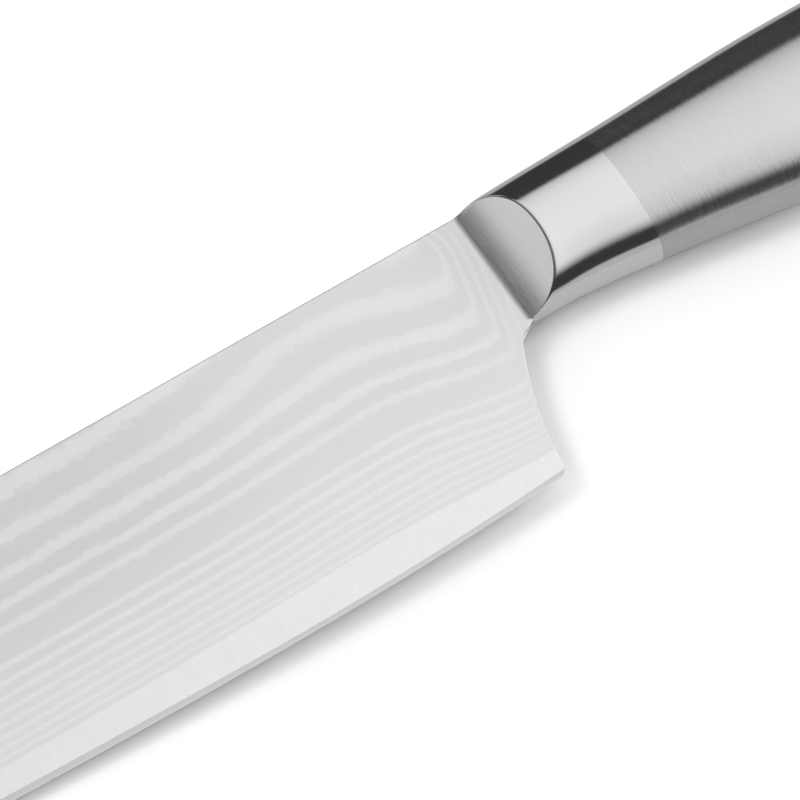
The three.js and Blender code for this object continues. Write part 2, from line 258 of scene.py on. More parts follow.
def smooth_curve(stations, values):
    """A cubic through the points. Its slope at each is the harmonic mean of the two secants there, or
    none where they differ in sign, so it never overshoots."""
    stations, values = np.asarray(stations), np.asarray(values)
    secant = np.diff(values) / np.diff(stations)
    before, after = np.r_[secant[0], secant], np.r_[secant, secant[-1]]
    alike = before * after > 0
    slope = np.where(alike, 2 * before * after / np.where(alike, before + after, 1), 0)

    def at(x):
        i = np.clip(np.searchsorted(stations, x, side="right") - 1, 0, len(secant) - 1)
        width = stations[i + 1] - stations[i]
        t = (x - stations[i]) / width
        bend = t * t * (3 - 2 * t)
        hump = width * t * (1 - t) * (slope[i] * (1 - t) - slope[i + 1] * t)
        return values[i] * (1 - bend) + values[i + 1] * bend + hump

    return at


def soft_step(value, low, high):
    """0 below low, 1 above high, and a smooth rise of the form 3t^2 - 2t^3 between them."""
    t = np.clip((value - low) / (high - low), 0, 1)
    return t * t * (3 - 2 * t)


def bell(value, width):
    """1 at nought, and less on both sides of it: exp(-(value / width)^2)."""
    return np.exp(-((value / width) ** 2))


def bend_through(start, corner, end, count):
    """Points, or rows of points, of a quadratic curve from start to end that leans to the corner."""
    start, corner, end = (np.asarray(p, float) for p in (start, corner, end))
    t = np.linspace(0, 1, count).reshape(-1, *[1] * start.ndim)
    return start * (1 - t) ** 2 + corner * 2 * t * (1 - t) + end * t**2


def eased(distance, radius):
    """Drop of a surface near its rim: a quarter round of that radius, by the distance from the rim."""
    inside = np.clip(radius - distance, 0, radius)
    return radius - np.sqrt(np.maximum(radius**2 - inside**2, 0))


# Meshes


def stacked(*parts):
    """Coordinates, stretched to one shape, as points."""
    return np.stack(np.broadcast_arrays(*parts), axis=-1)


def twice(field):
    """Values of a grid, once for each of a slab's two grids."""
    return np.tile(field.ravel(), 2)


def closing(ring):
    """The middle of a ring of points, once for each of them."""
    return np.broadcast_to(ring.mean(axis=0), ring.shape)


def grid_faces(rows, columns, ring=False):
    """Corners of the four-sided faces of a grid of points stored row by row. A ring joins the last
    column to the first."""
    row, column = np.meshgrid(np.arange(rows - 1), np.arange(columns - (not ring)), indexing="ij")
    beside = (column + 1) % columns
    a, b = row * columns + column, row * columns + beside
    return stacked(a, b, b + columns, a + columns).reshape(-1, 4)


def tube(rings):
    """Points and faces of a row of rings, each joined to the next."""
    rings = np.array(rings)
    return rings.reshape(-1, 3), grid_faces(*rings.shape[:2], ring=True)


def slab(outer, inner):
    """Points and faces of a closed slab between two grids of the same shape: the outer grid, the inner
    one facing away, and a strip of faces round the rim."""
    rows, columns = outer.shape[:2]
    count = rows * columns
    points = np.concatenate([outer.reshape(-1, 3), inner.reshape(-1, 3)])
    index = np.arange(count).reshape(rows, columns)
    rim = np.concatenate([index[0, :], index[1:, -1], index[-1, -2::-1], index[-2:0:-1, 0]])
    after = np.roll(rim, -1)
    wall = stacked(after, rim, rim + count, after + count)
    front = grid_faces(rows, columns)
    return points, np.concatenate([front, front[:, ::-1] + count, wall])


def placed(name, data):
    """A new object in the scene."""
    made = bpy.data.objects.new(name, data)
    bpy.context.scene.collection.objects.link(made)
    return made


def add_piece(name, form, nodes, materials, sharp, finish_of=None, values=None, map_of=None):
    """A mesh piece of the knife from its points and faces: the points are laid on the table, doubles
    are merged, faces turn outwards, corners of more than the sharp degrees stay hard, and it rides
    on the root body in place of its CAD nodes."""
    points, faces = form
    mesh = bpy.data.meshes.new(name)
    mesh.from_pydata(laid(points).tolist(), [], faces.tolist())
    for key, field in (values or {}).items():
        held = mesh.attributes.new(key, "FLOAT", "POINT").data
        held.foreach_set("value", field.astype(np.float32).ravel())
    if finish_of is not None:
        mesh.polygons.foreach_set("material_index", finish_of.astype(np.int32))
    if map_of is not None:
        corners = np.zeros(len(mesh.loops), np.int32)
        mesh.loops.foreach_get("vertex_index", corners)
        held = mesh.uv_layers.new(name="Surface").data
        held.foreach_set("uv", map_of[corners].astype(np.float32).ravel())
    for material in materials:
        mesh.materials.append(material)
    work = bmesh.new()
    work.from_mesh(mesh)
    bmesh.ops.remove_doubles(work, verts=work.verts, dist=SAME_POINT)
    bmesh.ops.dissolve_degenerate(work, edges=work.edges, dist=SAME_POINT)
    bmesh.ops.recalc_face_normals(work, faces=work.faces)
    work.to_mesh(mesh)
    work.free()
    mesh.shade_smooth()
    mesh.set_sharp_from_angle(angle=math.radians(sharp))
    piece = placed(name, mesh)
    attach(piece, "root")
    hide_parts(*nodes)


# Blade form


def blade_form(settings):
    """The blade's grind and outline as functions, from its sizes and the barrel's underside."""
    sizes, drop = settings.blade, settings.handle.barrel_drop
    rise, low = sizes.spine_rise, sizes.spine_rise - sizes.height + sizes.tuck
    core_depth = sizes.height - sizes.exposed_core
    flat_end = sizes.spine_thickness / 2 - sizes.flat_taper * sizes.flat_height
    reach = core_depth - sizes.flat_height
    at_core = sizes.core_thickness / 2 + 2.5 * sizes.weld_line
    bend = (flat_end - sizes.flat_taper * reach - at_core) / reach**2

    def edge(x):
        """Height of the edge: a parabola from its lowest point, flatter towards the front."""
        along = x + sizes.edge_low_at
        rocker = np.where(along > 0, sizes.heel_rocker, sizes.front_rocker)
        return low + along**2 / (2 * rocker)

    def half(depth):
        """Half thickness by the depth under the spine: a straight taper, a parabola to the core's
        line, then on at the slope that it has there."""
        down = depth - sizes.flat_height
        taper = sizes.spine_thickness / 2 - sizes.flat_taper * depth
        curve = flat_end - sizes.flat_taper * down - bend * down**2
        wedge = at_core - (sizes.flat_taper + 2 * bend * reach) * (down - reach)
        return np.where(down <= 0, taper, np.where(down <= reach, curve, wedge))

    def bevel_height(x):
        loss_from, loss_to = -95 * MM, -50 * MM
        return sizes.bevel_height - sizes.bevel_loss * soft_step(x, loss_from, loss_to)

    def shoulder(x):
        """Depth of the upper line of the bevel."""
        return rise - edge(x) - bevel_height(x)

    def core_line(x):
        """Depth of the core's line: a low bell about its crest, wider and shallower to the front."""
        away = x + sizes.crest_at
        sink = np.where(away > 0, sizes.heel_sink, sizes.front_sink)
        heel_width, front_width = 19 * MM, 26 * MM
        width = np.where(away > 0, heel_width, front_width)
        return core_depth + sink - (sink + sizes.crest_lift) * bell(away, width)

    def zone(x, y):
        """0 at the spine, 1 at the core's line, 2 at the bevel's upper line and 3 at the edge."""
        depth, line = rise - y, core_line(x)
        upper, top = depth / line, shoulder(x)
        strip = 1 + (depth - line) / (top - line)
        bevel = 2 + (depth - top) / bevel_height(x)
        return np.where(upper < 1, upper, np.where(strip < 2, strip, bevel))

    def depth_of(x, level):
        """The inverse of zone: depth under the spine."""
        top, line = shoulder(x), core_line(x)
        strip = line + (level - 1) * (top - line)
        bevel = top + (level - 2) * bevel_height(x)
        return np.where(level <= 1, level * line, np.where(level <= 2, strip, bevel))

    def rear():
        """Rear rim from the spine to the edge: under the ramp, round the choil, down the hollow heel
        and round its corner."""
        heel = np.array([-sizes.heel_setback, edge(-sizes.heel_setback)])
        choil = np.array([-sizes.choil_setback, -drop - sizes.choil_drop])
        up = (choil - heel) / np.linalg.norm(choil - heel)
        under = np.array([sizes.choil_end, -drop])
        back = (under - choil) / np.linalg.norm(under - choil)
        heel_top = choil - up * sizes.choil_radius
        heel_foot = heel + up * sizes.heel_corner
        hollow = (heel_top + heel_foot) / 2 + 2 * sizes.heel_hollow * np.array([-up[1], up[0]])
        choil_back = choil + back * min(sizes.choil_radius, sizes.choil_setback / 2)
        corner_end = heel[0] - sizes.heel_corner
        top = [[0, rise], [sizes.seat, rise - 0.3 * MM], [sizes.seat, 0.5 * MM - drop], under]
        inner = bend_through(choil_back, choil, heel_top, 16)
        heel_line = bend_through(heel_top, hollow, heel_foot, 16)
        corner = bend_through(heel_foot, heel, [corner_end, edge(corner_end)], 24)
        return np.concatenate([top, inner, heel_line[1:], corner[1:]])

    def front():
        """Front rim from the spine to the edge: the nose, the leaning end and the toe."""
        end = -sizes.length
        nose, nose_foot = end + sizes.front_lean, rise - sizes.nose_radius
        toe, toe_end = edge(end), end + sizes.toe_radius
        round_nose = bend_through([nose + sizes.nose_radius, rise], [nose, rise], [nose, nose_foot], 60)
        corner = bend_through([end, toe + sizes.toe_radius], [end, toe], [toe_end, edge(toe_end)], 24)
        return np.concatenate([round_nose, corner])

    return SimpleNamespace(
        half=half, shoulder=shoulder, zone=zone, depth_of=depth_of,
        rear=rear(), front=front(), core_depth=core_depth, rise=rise,
    )


def blade_columns():
    """Shares of the way from the rear rim to the front rim, from places in millimetres that lie close
    together at the bolster and the rims."""
    whole = 166
    rim = np.array([0, 0.02, 0.06, 0.12, 0.18, 0.25])
    near = np.arange(0.5, 8, 0.3)
    middle = np.arange(8.4, 26, 0.7)
    far = np.linspace(26.5, 164, 92)
    return np.concatenate([rim, near, middle, far, whole - rim[::-1]]) / whole


def blade_grid(form, levels):
    """x and y of a grid on the blade, and each point's distance from the nearer rim: each row lies at
    one level of the grind, from the rear rim to the front rim, and its points share out the way."""
    shares = blade_columns()
    rims = []
    for rim in (form.rear, form.front):
        rims.append(np.interp(levels, form.zone(rim[:, 0], rim[:, 1]), rim[:, 0])[:, None])
    rear, front = rims
    x = rear * (1 - shares) + front * shares
    y = form.rise - form.depth_of(x, levels[:, None])
    return x, y, np.minimum(rear - x, x - front)


def spine_rows(ease):
    """Depths round the broken corner of the spine, then wider and wider down to the flat."""
    turn = np.linspace(0, np.pi / 2, 6)
    wider = np.array([0.4, 0.6, 0.9, 1.3, 1.8]) * MM
    return np.concatenate([ease * (1 - np.cos(turn)), wider])


# The layer pattern: lengths in millimetres, and numbers of layers
PATTERN = SimpleNamespace(
    crest_at=31, crest_width=20, crest_least=0.6, crest_most=4.6, crest_flat=5, crest_fade=8.5,
    sink_slope=0.29, sink_end=45.2, sink_most=3.2, sink_span=(29, 7),
    first=-0.75, slope=17.35, curve=6.92, lost_span=(23.4, 27), spine_rise=0.45, spine_width=6,
    pressed=3.5, pressed_down=0.13, pressed_front=0.6, pressed_spine=1.2, pressed_fade=2, join=3.5,
    heel_span=(23, 26), heel_fade=0.4,
    spine_span=(8, 24), front_span=(76, 38), core_span=(17, 41), bolster_width=8,
)


def layer_count(form, sizes, x, y, gap):
    """How many layers the grind has cut through.

    On the blade it is a quadratic in the thickness that is gone, less one layer that runs out in the
    middle. The layers rise in a bell in front of the bolster, most under the spine, and sink again
    towards the heel. At the bolster they were pressed up, and the count rises evenly towards it, and
    more at the spine. The larger of the two counts, joined softly, holds. Along the heel it rises.
    """
    depth, away = (form.rise - y) / MM, -x / MM
    crest = bell(np.maximum(away - PATTERN.crest_at, 0), PATTERN.crest_width)
    fade = np.exp(-np.maximum(depth - PATTERN.crest_flat, 0) / PATTERN.crest_fade)
    lift = (PATTERN.crest_least + PATTERN.crest_most * fade) * crest
    sink = np.clip(PATTERN.sink_slope * (PATTERN.sink_end - depth), 0, PATTERN.sink_most)
    sink = sink * soft_step(away, *PATTERN.sink_span)
    level = np.maximum(depth + lift - sink, 0)
    gone = (sizes.spine_thickness / 2 - form.half(level * MM)) / MM
    count = PATTERN.first + PATTERN.slope * gone + PATTERN.curve * gone**2
    count = count - soft_step(level, *PATTERN.lost_span)
    count = count + PATTERN.spine_rise * bell(level, PATTERN.spine_width)
    pressed = PATTERN.pressed + PATTERN.pressed_down * depth - PATTERN.pressed_front * away
    pressed = pressed + PATTERN.pressed_spine * np.exp(-depth / PATTERN.pressed_fade)
    joined = np.logaddexp(PATTERN.join * count, PATTERN.join * pressed) / PATTERN.join
    heel = soft_step(depth, *PATTERN.heel_span) * np.exp(-gap / (PATTERN.heel_fade * MM))
    return joined + heel


def etch_tone(form, x, y):
    """How pale the etched ground is, from 0 to 1, and how strong its light bands are. The ground gets
    paler from the front to the bolster, and towards the core's line. The bands are stronger where it
    is pale, and weak close to the bolster."""
    depth, away = (form.rise - y) / MM, -x / MM
    high = 1 - soft_step(depth, *PATTERN.spine_span)
    close = bell(away, PATTERN.bolster_width)
    rear = 0.6 * soft_step(away, *PATTERN.front_span) - (0.15 + 0.45 * high) * close
    low = 0.88 * soft_step(depth, *PATTERN.core_span)
    pale = 1 - (1 - rear) * (1 - low)
    return pale, 0.7 + 0.18 * pale - 0.45 * close


# Handle form


def handle_form(settings):
    """The barrel's and the grip's outline as functions of x, and a point of the skin. The top starts
    just under the spine."""
    sizes, bolster = settings.handle, settings.bolster
    far_ahead, front = -50 * MM, settings.blade.spine_rise - 0.04 * MM
    places = [bolster.collar_at, sizes.belly_at, sizes.waist_at, sizes.length]
    rises = sizes.crest_rise, sizes.collar_rise, sizes.belly_rise, sizes.waist_rise, sizes.end_rise
    drops = sizes.collar_drop, sizes.belly_drop, sizes.waist_drop, sizes.end_drop
    halves = sizes.barrel_half, sizes.belly_half, sizes.waist_half, sizes.end_half
    top = smooth_curve(
        [far_ahead, bolster.blend_at, sizes.crest_at, *places],
        [front, front, *(np.array(rises) - sizes.tuck)],
    )
    barrel = sizes.barrel_drop
    bottom = smooth_curve([0, sizes.flare_at, *places], -np.array([barrel, barrel, *drops]))
    thick = smooth_curve([0, *places[1:]], np.array(halves) - sizes.tuck)

    def skin(x, turn, inset=0.0, shrink=1.0, at=None):
        """A point of the section at x: a rounded oval, y = middle + a sgn(cos) |cos|^p and
        z = b sgn(sin) |sin|^p, drawn in by an inset and shrunk about its middle. It may be put at
        another place along the knife."""
        high, under = top(x), bottom(np.maximum(x, 0))
        power = 2 / sizes.section_power
        c, s = np.cos(turn), np.sin(turn)
        y = (high + under) / 2 + ((high - under) / 2 - inset) * shrink * np.sign(c) * np.abs(c) ** power
        z = (thick(x) - inset) * shrink * np.sign(s) * np.abs(s) ** power
        return stacked(x if at is None else at, y, z)

    return SimpleNamespace(top=top, skin=skin)


def round_turns(count, whole=True):
    """Turns round a section, or round one half of it with both its ends, that lie closer together at
    the top and the underside."""
    even = np.linspace(0, 2 * np.pi if whole else np.pi, count, endpoint=not whole)
    return even - 0.12 * np.sin(2 * even)


def underside(turn):
    """1 along the handle's underside and 0 elsewhere, by the turn round the section from its top: the
    mask of the satin's painted shade.
    """
    return soft_step(np.abs(turn - np.pi), 0.54, 0.34)


# Bolster form


def ramp_height(sizes, x, foot):
    """Height of the ramp at x over the blade's face: a small round from the face to its slope, then a
    wide hollow round, which is as high as the tangent of the last slope goes."""
    along = np.maximum(x - sizes.ramp_at, 0)
    slope, small, wide = sizes.fillet_slope, sizes.ramp_fillet, sizes.ramp_radius
    end = small * math.sin(slope)
    first = small - np.sqrt(np.maximum(small**2 - np.minimum(along, end) ** 2, 0))
    centre = end - wide * math.sin(slope)
    beyond = np.clip(along - centre, 0, 0.95 * wide)
    second = wide * math.cos(slope) - np.sqrt(wide**2 - beyond**2)
    start = small * (1 - math.cos(slope))
    return foot + np.where(along <= end, first, start + second)


def bolster_surface(settings):
    """Rows of points round the bolster, from its front line over the ramp, the softened rim and the
    barrel to the collar, and the number of rows that belong to the ramp.

    Each column keeps one turn of the barrel's oval. Its ramp runs from the front line up to where
    the ramp's height meets the oval, which is found by halving: level in y below, and along the top's
    own line above. The rim is a quadratic curve with its corner on that meeting line.
    """
    sizes, grip, blade = settings.bolster, handle_form(settings), blade_form(settings)
    turns = round_turns(360)
    ends = grip.skin(0.0, turns)
    upper = soft_step(ends[:, 1], 8.8 * MM, 9.7 * MM)
    lower = soft_step(-ends[:, 1], 10.9 * MM, 11.5 * MM)
    front, lower_front, sunk_foot = sizes.ramp_at, 0.7 * MM, 0.012 * MM
    start = front + upper * (sizes.blend_at - front) + lower * (lower_front - front)
    side = np.sign(np.round(ends[:, 2] / MM, 6))

    def ramp(x, y):
        foot = blade.half(np.maximum(blade.rise - y, 0)) - sunk_foot
        height = ramp_height(sizes, x, foot)
        crown = np.clip(0.95 * (height - foot), 0, sizes.crown_ease)
        return height - crown * eased(np.maximum(grip.top(x) - y, 0) / sizes.crown_width, 1.0)

    furthest, halvings, least = 12 * MM, 48, 0.001 * MM
    low, high = start.copy(), np.full_like(start, furthest)
    for _ in range(halvings):
        middle = (low + high) / 2
        oval = grip.skin(middle, turns)
        inside = ramp(middle, oval[:, 1]) < np.abs(oval[:, 2])
        low, high = np.where(inside, middle, low), np.where(inside, high, middle)
    meeting = np.where(high - start < least, start, (low + high) / 2)
    corner = grip.skin(meeting, turns)
    reach = np.minimum(sizes.rim_reach, 0.3 * (meeting - start))
    upright = soft_step(corner[:, 1], 6 * MM, 9.9 * MM)
    ramp_rows, rim_rows, barrel_rows, closer = 44, 10, 40, 1.25
    rows = []
    for t in np.linspace(0, 1, ramp_rows) ** closer:
        x = start + (meeting - reach - start) * t
        y = corner[:, 1] - upright * (grip.top(meeting) - grip.top(x))
        z = np.where(meeting > start, side * ramp(x, y), corner[:, 2])
        rows.append(stacked(x, y, z))
    rows.extend(bend_through(rows[-1], corner, grip.skin(meeting + reach, turns), rim_rows)[1:-1])
    for t in np.linspace(0, 1, barrel_rows):
        rows.append(grip.skin(meeting + reach + (sizes.collar_at - meeting - reach) * t, turns))
    return np.array(rows), ramp_rows


# Materials


class ShaderTree:
    """A node tree built one node at a time. A socket links, and any other value sets the input."""

    def __init__(self, node_tree):
        self.nodes, self.links = node_tree.nodes, node_tree.links
        self.nodes.clear()

    def add(self, kind, inputs=None, **settings):
        made = self.nodes.new(kind)
        for key, value in settings.items():
            setattr(made, key, value)
        for key, value in (inputs or {}).items():
            if isinstance(value, bpy.types.NodeSocket):
                self.links.new(value, made.inputs[key])
            else:
                made.inputs[key].default_value = value
        return made

    def math(self, operation, a, b=0.0, c=0.0):
        return self.add("ShaderNodeMath", {0: a, 1: b, 2: c}, operation=operation).outputs[0]

    def product(self, first, *others):
        for other in others:
            first = self.math("MULTIPLY", first, other)
        return first

    def span(self, value, low, high, to_low=0.0, to_high=1.0, smooth=False):
        kind = "SMOOTHSTEP" if smooth else "LINEAR"
        names = ("Value", "From Min", "From Max", "To Min", "To Max")
        fed = dict(zip(names, (value, low, high, to_low, to_high)))
        return self.add("ShaderNodeMapRange", fed, interpolation_type=kind, clamp=True).outputs[0]

    def grain(self, size, detail=2.0, roughness=0.5):
        """Noise in object space whose grains have that size in millimetres along each axis."""
        where = self.add("ShaderNodeTexCoord").outputs["Object"]
        scale = tuple(1 / (side * MM) for side in size)
        fitted = self.add("ShaderNodeMapping", {"Vector": where, "Scale": scale}).outputs[0]
        fed = {"Vector": fitted, "Scale": 1.0, "Detail": detail, "Roughness": roughness}
        return self.add("ShaderNodeTexNoise", fed).outputs["Fac"]

    def value(self, name):
        return self.add("ShaderNodeAttribute", attribute_name=name).outputs["Fac"]

    def mix(self, share_of, a, b):
        fed = {"Factor": share_of, 6: a, 7: b}
        return self.add("ShaderNodeMix", fed, data_type="RGBA").outputs[2]

    def tones(self, share_of, tone, dark, light):
        """A tone between its darker and its lighter multiple."""
        return self.mix(share_of, rgba(tone, dark), rgba(tone, light))

    def relief(self, height, distance, strength):
        fed = {"Height": height, "Distance": distance, "Strength": strength}
        return self.add("ShaderNodeBump", fed).outputs[0]

    def end(self, shader, inputs, output="ShaderNodeOutputMaterial"):
        self.add(output, {"Surface": self.add(shader, inputs).outputs[0]})

    def steel(self, tone, roughness, **inputs):
        """End in metal of that tone."""
        fed = {"Base Color": tone, "Roughness": roughness, "Metallic": 1.0, **inputs}
        self.end("ShaderNodeBsdfPrincipled", fed)


def rgba(value, scale=1.0):
    return tuple(min(1.0, c * scale) for c in value) + (1.0,)


def layered_steel(tree, finish):
    """Etched layers: light bands where the layer count is near a whole number, with ragged edges, on a
    rougher ground. Attributes hold the count, how pale the ground is and how strong the bands are."""
    sway = tree.grain((15, 7, 7))
    ragged = tree.grain((1.5, 0.8, 0.8), detail=3.0, roughness=0.7)
    moved = tree.math("MULTIPLY_ADD", sway, 0.3, tree.value("layers"))
    moved = tree.math("MULTIPLY_ADD", ragged, 0.5, moved)
    moved = tree.math("SUBTRACT", moved, 0.4)
    line = tree.span(tree.math("PINGPONG", moved, 0.5), 0.3, 0.09, smooth=True)
    which = tree.math("ROUND", moved)
    draw = tree.add("ShaderNodeTexWhiteNoise", {"W": which}, noise_dimensions="1D").outputs["Value"]
    shown = tree.product(line, tree.span(draw, 0.0, 1.0, 0.85, 1.0), tree.value("etch"))
    for blot in (tree.grain((0.24, 0.24, 0.24), detail=1.0), tree.grain((9, 5, 5))):
        shown = tree.math("MULTIPLY_ADD", tree.math("SUBTRACT", blot, 0.5), 0.3, shown)
    ground = tree.mix(tree.value("pale"), rgba(finish.ground), rgba(finish.ground_pale))
    tone = tree.mix(shown, ground, rgba(finish.layer))
    roughness = tree.span(shown, 0.0, 1.0, 0.4, 0.38)
    tree.steel(tone, roughness, Normal=tree.relief(shown, 0.004 * MM, 0.3))


def ground_steel(tree, finish):
    """The bare centre layer: fine strokes down towards the edge, a faint dark line where the outer
    layers run out, and a coarser, darker bevel whose fine light line at the edge is the micro-bevel with
    a painted highlight."""
    level = tree.value("level")
    strokes = tree.grain((0.12, 3, 3))
    seam = tree.span(level, 1.03, 1.0)
    bevel = tree.span(level, 2.0, 2.02)
    edge = tree.span(level, 2.8, 2.86)
    tone = tree.mix(bevel, rgba(finish.core), rgba(finish.bevel))
    # Painted highlight: the micro-bevel at the edge gets a lighter colour for the light that it catches.
    tone = tree.mix(edge, tone, rgba(finish.edge))
    tone = tree.mix(seam, tone, rgba(finish.core, 0.95))
    tone = tree.mix(tree.span(strokes, 0.2, 0.8, 0.0, 0.1), tone, (0.4, 0.4, 0.4, 1))
    roughness = tree.span(strokes, 0.2, 0.8, 0.27, 0.36)
    tree.steel(tone, roughness, Normal=tree.relief(strokes, 0.002 * MM, 0.3))


def barrel_polish(tree, finish):
    """Polish with faint buffing marks round the barrel."""
    marks = tree.grain((0.25, 6, 6), detail=3.0)
    tone = tree.tones(marks, finish.polish, 0.98, 1.02)
    tree.steel(tone, tree.span(marks, 0.3, 0.7, 0.07, 0.13))


def ramp_steel(tree, finish):
    """Brushed strokes across the ramp, level with the line where it meets the blade."""
    strokes = tree.grain((0.16, 7, 0.16), detail=3.0)
    tone = tree.tones(strokes, finish.ramp, 0.9, 1.08)
    roughness = tree.span(strokes, 0.3, 0.7, 0.24, 0.34)
    tree.steel(tone, roughness, Normal=tree.relief(strokes, 0.006 * MM, 0.25))


def grip_satin(tree, finish):
    """Satin brushed round the grip, with a slow change of tone along it, and painted shade along the
    underside, which the attribute marks: a darker copy of the satin there."""
    strokes = tree.grain((0.42, 2.5, 2.5), detail=3.0, roughness=0.6)
    slow = tree.grain((5, 30, 30), detail=1.0)
    both = tree.math("MULTIPLY_ADD", slow, 0.2, tree.math("MULTIPLY", strokes, 0.8))
    bright = tree.tones(both, finish.satin, 0.9, 1.1)
    # Painted shade: dull is the darker copy of the satin, mixed in where the attribute marks the
    # underside.
    dull = tree.tones(both, finish.satin_under, 0.93, 1.07)
    tone = tree.mix(tree.value("under"), bright, dull)
    roughness = tree.span(strokes, 0.25, 0.75, 0.16, 0.2)
    direction = tree.add("ShaderNodeTangent", direction_type="UV_MAP", uv_map="Surface").outputs[0]
    bumps = tree.relief(strokes, 0.037 * MM, 0.5)
    tree.steel(tone, roughness, Normal=bumps, Anisotropic=0.9, Tangent=direction)


def rolled_steel(tree, finish):
    """Plain rolled bar with dull patches."""
    patches = tree.grain((4, 2, 2), detail=4.0)
    tone = tree.tones(patches, finish.tang, 0.85, 1.1)
    tree.steel(tone, tree.span(patches, 0.3, 0.7, 0.42, 0.6))


def cast_filler(tree, finish):
    """Dull cast filler with small pits."""
    pits = tree.grain((0.8, 0.8, 0.8), detail=4.0)
    tone = tree.tones(pits, finish.filler, 0.8, 1.15)
    tree.steel(tone, 0.85, Metallic=0.0, Normal=tree.relief(pits, 0.1 * MM, 0.5))


def pale_floor(tree, stage):
    """A dull floor, which the steel shows a little darker."""
    glossy = tree.add("ShaderNodeLightPath").outputs["Is Glossy Ray"]
    tone = tree.mix(glossy, rgba(stage.floor), rgba(stage.floor_in_steel))
    tree.end("ShaderNodeBsdfDiffuse", {"Color": tone})


def shared(paint, colours):
    """The material that this function paints, named after it and made once."""
    material = bpy.data.materials.get(paint.__name__)
    if material is None:
        material = bpy.data.materials.new(paint.__name__)
        material.use_nodes = True
        paint(ShaderTree(material.node_tree), colours)
    return material


def add_satin(name, form, node, along, turns, finish):
    """A satin piece of the grip, with a map along the grip and round it, and the mask of the painted
    shade along its underside.
    """
    add_piece(
        name, form, [node], [shared(grip_satin, finish)], sharp=40,
        values={"under": underside(turns)}, map_of=stacked(along / MM, turns * GRIP_ROUND) / MAP_SIDE,
    )


# Stage


def make_floor(settings):
    """A level sheet under the knife. Its back end lies close behind the handle, and the others far
    away."""
    back = settings.floor_back + ORIGIN[1]
    ends = ((-FLOOR_REACH, FLOOR_REACH), (-FLOOR_REACH, back))
    x, y = np.meshgrid(*(np.linspace(*end, FLOOR_ROWS) for end in ends))
    mesh = bpy.data.meshes.new("floor")
    points = stacked(x, y, 0.0).reshape(-1, 3)
    mesh.from_pydata(points.tolist(), [], grid_faces(FLOOR_ROWS, FLOOR_ROWS).tolist())
    mesh.materials.append(shared(pale_floor, settings))
    floor = placed("floor", mesh)


def make_light(scene, settings):
    """A world painted by direction: a wide soft light overhead; soft cards low at the front end, at
    the edge's side, at the butt's end and at the spine's side; pale below the horizon, and dark
    between. A card's bounds say where it starts and where it is full, on one part of the direction.
    The camera sees white. Three lamps light the floor, and the steel doesn't show them."""
    world = bpy.data.worlds.new("studio")
    world.use_nodes = True
    tree = ShaderTree(world.node_tree)
    where = tree.add("ShaderNodeTexCoord").outputs["Generated"]
    to_butt, to_spine, up = tree.add("ShaderNodeSeparateXYZ", {0: where}).outputs
    height = tree.math("MAXIMUM", up, 0.02)
    across = tree.math("DIVIDE", to_spine, height)
    along = tree.math("DIVIDE", to_butt, height)
    leaning = tree.math("MULTIPLY_ADD", along, 0.75, across)
    spine_fall = tree.math("POWER", tree.span(across, 0.0, 1.3), 1.6)
    lit = tree.product(
        tree.span(across, 1.55, 1.28),
        tree.math("MULTIPLY_ADD", spine_fall, -0.58, 1.32),
        tree.span(leaning, -0.995, -0.386, smooth=True),
        tree.span(across, -0.75, 0.0, 0.8, 1.0),
        tree.span(along, -0.4, 0.3, 0.1, 1.0),
        tree.span(along, 1.5, 0.25, smooth=True),
    )
    low = tree.math("MULTIPLY_ADD", to_butt, 0.7, up)
    sunk = tree.math("MULTIPLY_ADD", tree.math("MAXIMUM", to_butt, 0.0), 0.6, up)
    front_card = ((to_butt, -0.49, -0.61), (up, 0.73, 0.47))
    edge_card = ((to_spine, -0.4, -0.6), (low, 0.414, 0.314))
    butt_card = ((to_butt, 0.44, 0.62), (up, 0.8, 0.5))
    spine_ends = ((to_butt, 0.12, -0.02), (to_butt, -0.55, -0.35))
    spine_card = ((to_spine, 0.5, 0.7), *spine_ends, (up, 0.5, 0.34))
    below = ((sunk, -0.05, -0.19),)
    cards = ((front_card, 0.78), (edge_card, 0.57), (butt_card, 0.55), (spine_card, 0.45), (below, 0.48))
    for card, strength in cards:
        shown = tree.product(*(tree.span(*bound, smooth=True) for bound in card))
        lit = tree.math("MULTIPLY_ADD", shown, strength, lit)
    lit = tree.product(tree.math("ADD", lit, 0.051), settings.sky)
    seen = tree.add("ShaderNodeLightPath").outputs["Is Camera Ray"]
    sky = {"Color": tree.mix(seen, lit, (1, 1, 1, 1)), "Strength": 1.0}
    tree.end("ShaderNodeBackground", sky, output="ShaderNodeOutputWorld")
    scene.world = world
    for name in ("toe", "butt", "back"):
        lamp = bpy.data.lights.new(name + "_lamp", "AREA")
        lamp.shape = "SQUARE"
        lamp.size = getattr(settings, name + "_side")
        lamp.energy = getattr(settings, name + "_power")
        holder = placed(name + "_lamp", lamp)
        holder.location = getattr(settings, name + "_place")
        holder.visible_glossy = False
        holder.visible_camera = False


def make_camera(scene, settings):
    """A long lens that looks at a point of the blade's middle plane. Its turn and climb are on the
    knife's axes."""
    turn, climb = settings.turn, settings.climb
    level, rise = math.cos(climb), math.sin(climb)
    right = np.array([math.cos(turn), -math.sin(turn), 0])
    back = np.array([-math.sin(turn) * level, -math.cos(turn) * level, rise])
    aim = np.array([settings.aim_x, settings.aim_y, 0])
    pose = np.eye(4)
    pose[:3, :3] = TURN @ np.column_stack([right, np.cross(back, right), back])
    pose[:3, 3] = laid(aim + back * settings.distance)
    data = bpy.data.cameras.new("camera")
    data.sensor_width = SENSOR_WIDTH
    data.lens = settings.pixels / PHOTO_SIDE * SENSOR_WIDTH
    data.clip_start, data.clip_end = 0.05, 20
    camera = placed("camera", data)
    camera.matrix_world = Matrix(pose.tolist())
    scene.camera = camera


# Operators


